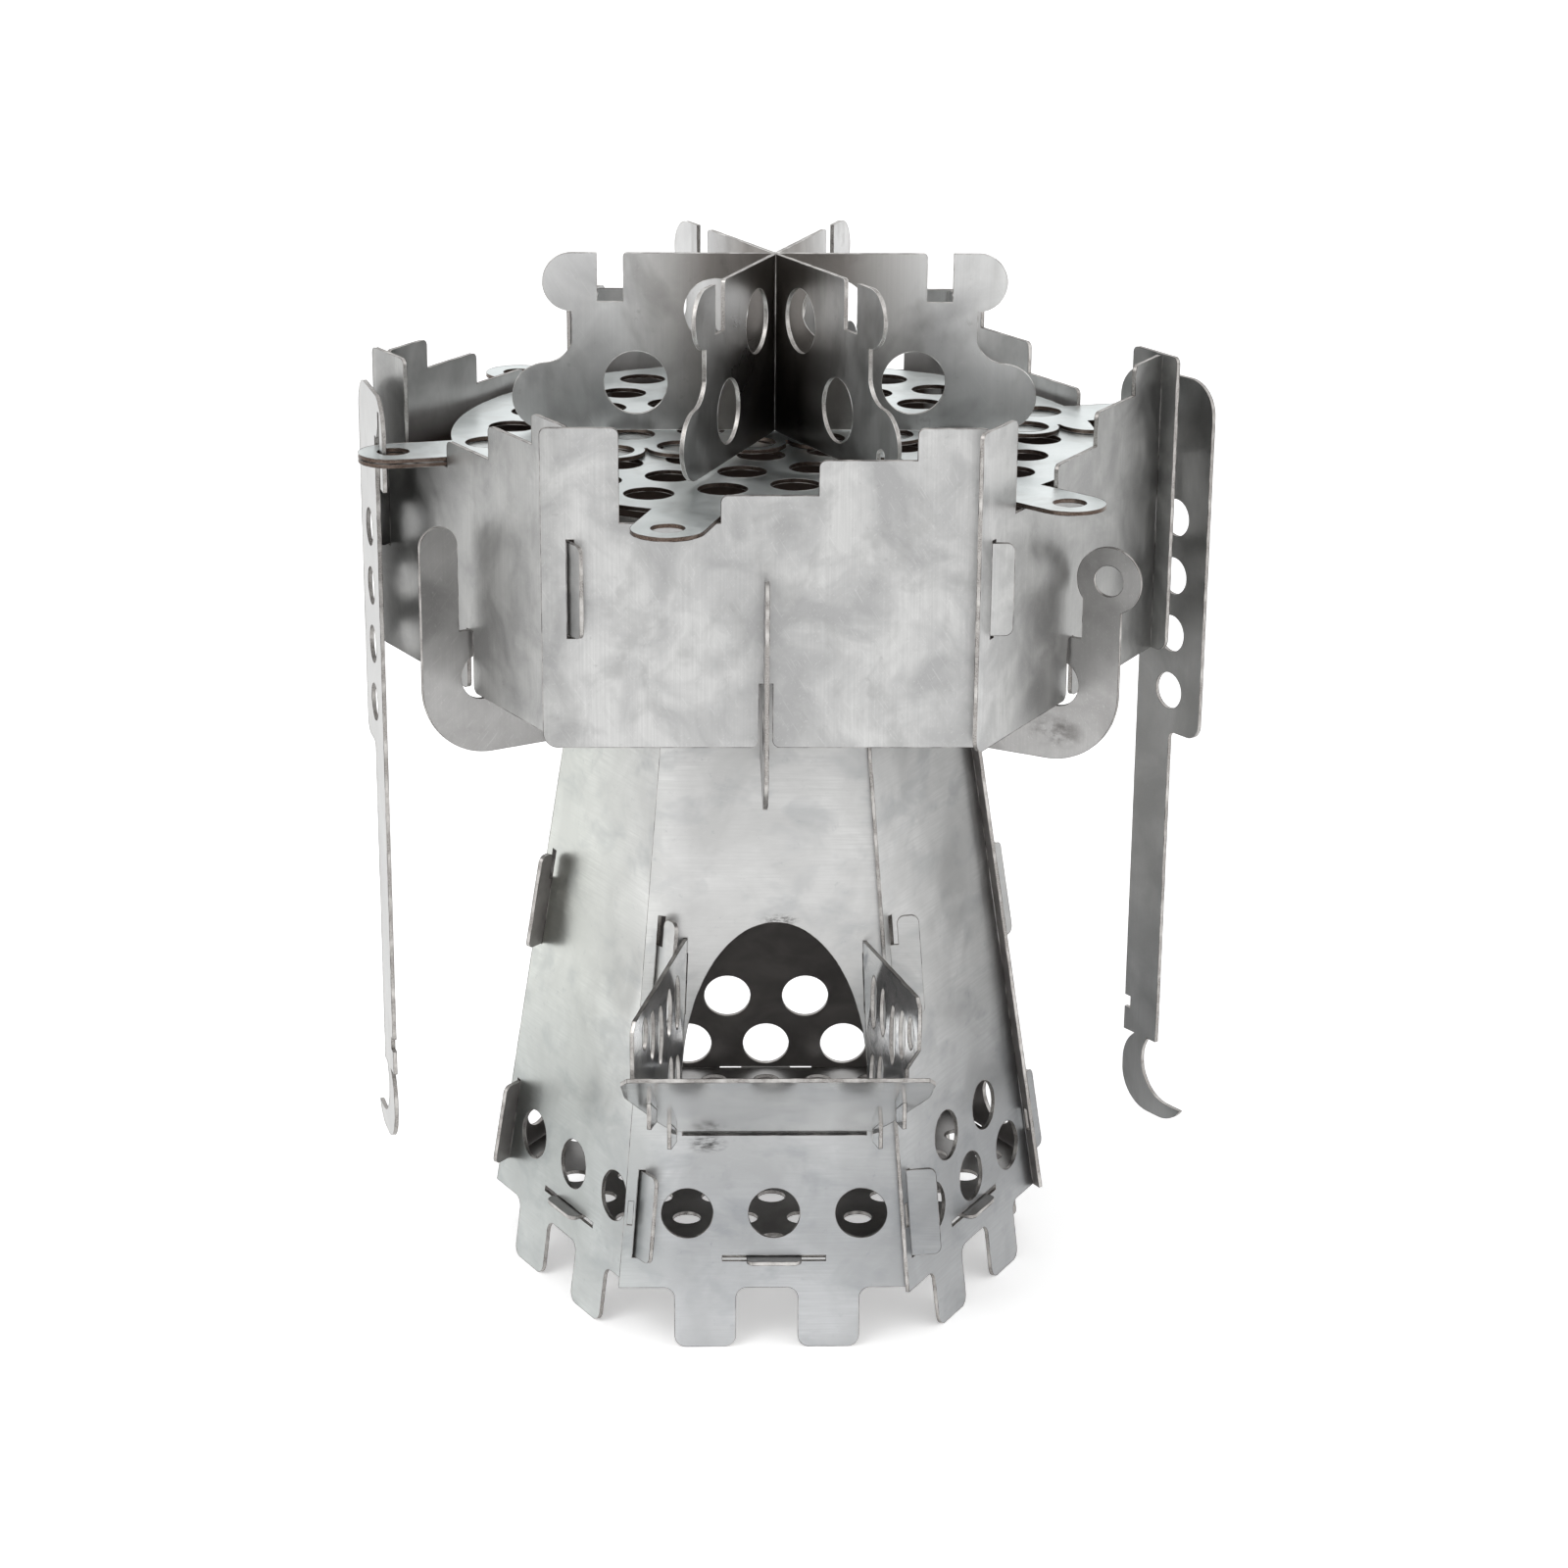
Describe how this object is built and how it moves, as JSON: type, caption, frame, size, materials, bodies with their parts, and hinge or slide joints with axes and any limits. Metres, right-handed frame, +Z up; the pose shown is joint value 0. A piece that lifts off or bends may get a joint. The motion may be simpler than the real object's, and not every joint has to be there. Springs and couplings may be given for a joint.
{
  "type": "portable biomass cookstove",
  "caption": "Flat-pack sheet steel wood stove: hexagonal tower with fuel chute, stepped fire box, perforated grates, crossed pot stand and hanging hooked tools.",
  "frame": {"origin": "the point on the ground under the middle of the hexagonal tower", "axes": "+Z up; the fuel chute faces -Y; +X to the right seen from the chute"},
  "size_m": [0.2685, 0.2548, 0.3342],
  "materials": {
    "panel_steel": "brushed, mottled stainless sheet",
    "grate_steel": "satin stainless sheet",
    "stand_steel": "satin stainless sheet, a little heat darkened",
    "tool_steel": "satin stainless sheet",
    "polished_steel": "mirror polished stainless sheet"
  },
  "bodies": {
    "stove": {"tower_front": "panel_steel", "tower_front_right": "panel_steel", "tower_back_right": "panel_steel", "tower_back": "panel_steel", "tower_back_left": "panel_steel", "tower_front_left": "panel_steel", "floor_grate": "panel_steel", "chute_plate": "polished_steel", "chute_wall_left": "polished_steel", "chute_wall_right": "polished_steel", "box_front": "panel_steel", "box_front_right": "panel_steel", "box_back_right": "panel_steel", "box_back": "panel_steel", "box_back_left": "panel_steel", "box_front_left": "panel_steel", "arm_front": "panel_steel", "arm_front_right": "panel_steel", "arm_back_right": "panel_steel", "arm_back": "panel_steel", "arm_back_left": "panel_steel", "arm_front_left": "panel_steel"},
    "low_grate": {"lower_grate": "grate_steel"},
    "high_grate": {"upper_grate": "grate_steel"},
    "pot_stand": {"pot_plate_across": "stand_steel", "pot_plate_rising": "stand_steel", "pot_plate_falling": "stand_steel"},
    "left_tool": {"tool_left": "tool_steel"},
    "right_tool": {"tool_right": "tool_steel"}
  },
  "joints": [
    {"name": "lower_grate_lift", "type": "slide", "parent": "stove", "child": "low_grate", "axis": [0, 0, 1], "range_m": [0, 0.05]},
    {"name": "upper_grate_lift", "type": "slide", "parent": "low_grate", "child": "high_grate", "axis": [0, 0, 1], "range_m": [0, 0.03]},
    {"name": "pot_stand_lift", "type": "slide", "parent": "high_grate", "child": "pot_stand", "axis": [0, 0, 1], "range_m": [0, 0.06]},
    {"name": "left_tool_swivel", "type": "hinge", "parent": "high_grate", "child": "left_tool", "pos_m": [-0.1168, -0.02999, 0.2778], "axis": [0, 0, 1], "range_deg": [0, 70]},
    {"name": "right_tool_swivel", "type": "hinge", "parent": "high_grate", "child": "right_tool", "pos_m": [0.1168, 0.02999, 0.2778], "axis": [0, 0, 1], "range_deg": [-5, 60]}
  ]
}
